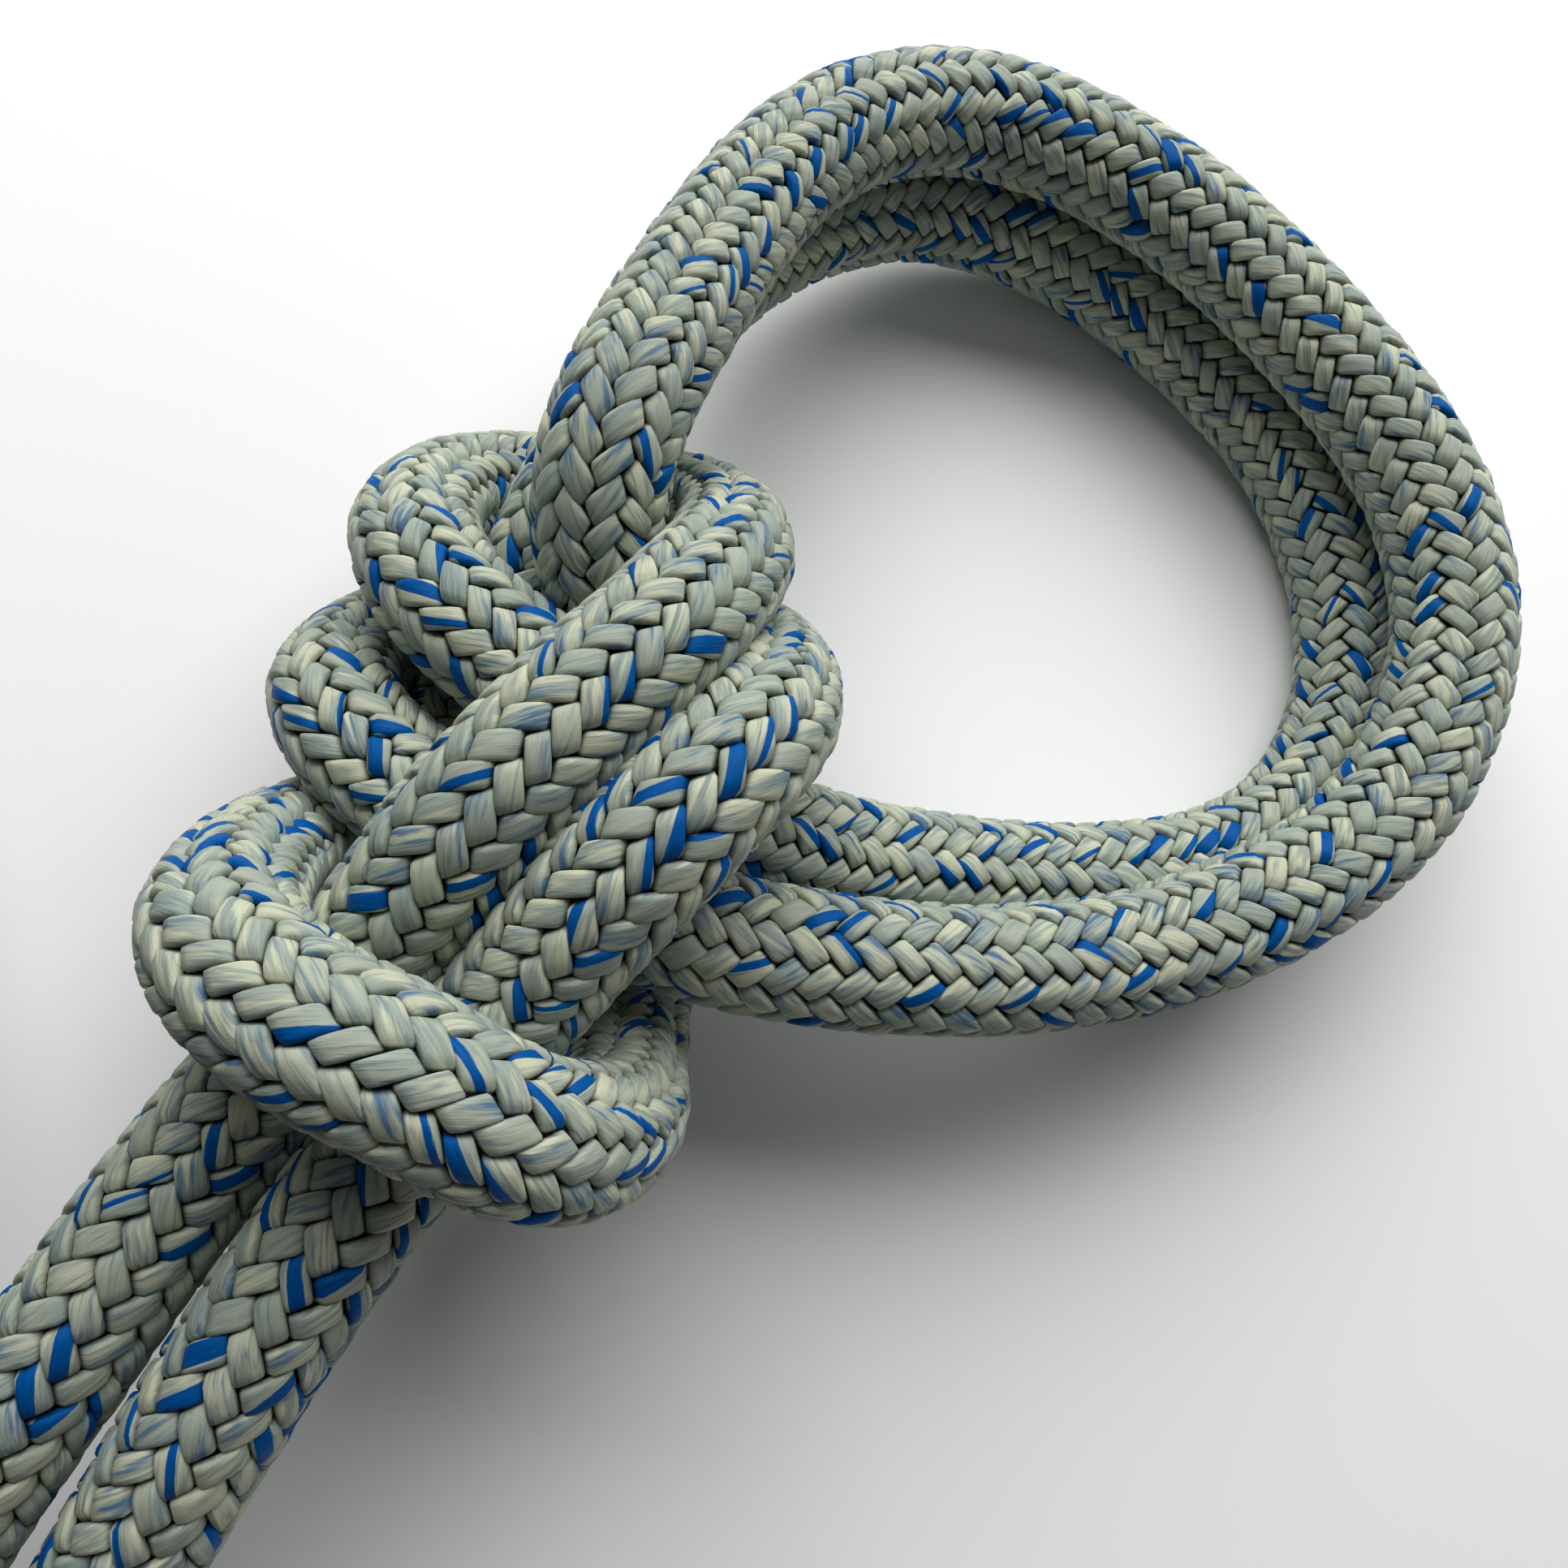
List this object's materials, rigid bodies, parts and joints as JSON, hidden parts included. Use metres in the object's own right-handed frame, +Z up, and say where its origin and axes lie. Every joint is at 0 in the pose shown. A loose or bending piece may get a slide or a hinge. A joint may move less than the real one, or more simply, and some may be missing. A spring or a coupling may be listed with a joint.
{
  "type": "dynamic climbing rope",
  "caption": "Braided climbing rope tied in a double loop knot with two matching eyes, its spare length laid in a flat strapped coil.",
  "frame": {"origin": "middle of the two eyes, on the surface that the rope lies on", "axes": "+Z up from that surface; +X and +Y lie in it, with the knot and the coil towards -X and the eyes' far side towards +Y"},
  "size_m": [0.3093, 0.1789, 0.0471],
  "materials": {
    "braided_sheath": "smooth braided yarn",
    "core_yarn": "twisted white yarn",
    "shrink_sleeve": "satin shrink sleeve",
    "melted_end": "melted yarn",
    "strap_webbing": "flat woven webbing"
  },
  "bodies": {
    "root": {"tail_sheath": "braided_sheath", "tail_core": "core_yarn", "lower_turn_sheath": "braided_sheath", "lower_turn_core": "core_yarn", "outer_eye_sheath": "braided_sheath", "outer_eye_core": "core_yarn", "collar_sheath": "braided_sheath", "collar_core": "core_yarn", "inner_eye_sheath": "braided_sheath", "inner_eye_core": "core_yarn", "upper_turn_sheath": "braided_sheath", "upper_turn_core": "core_yarn", "standing_part_sheath": "braided_sheath", "standing_part_core": "core_yarn", "coil_sheath": "braided_sheath", "coil_core": "core_yarn", "tail_end_sleeve": "shrink_sleeve", "coil_end_sleeve": "shrink_sleeve", "tail_end_seal": "melted_end", "coil_end_seal": "melted_end", "coil_strap_1": "strap_webbing", "coil_strap_2": "strap_webbing"}
  },
  "joints": []
}
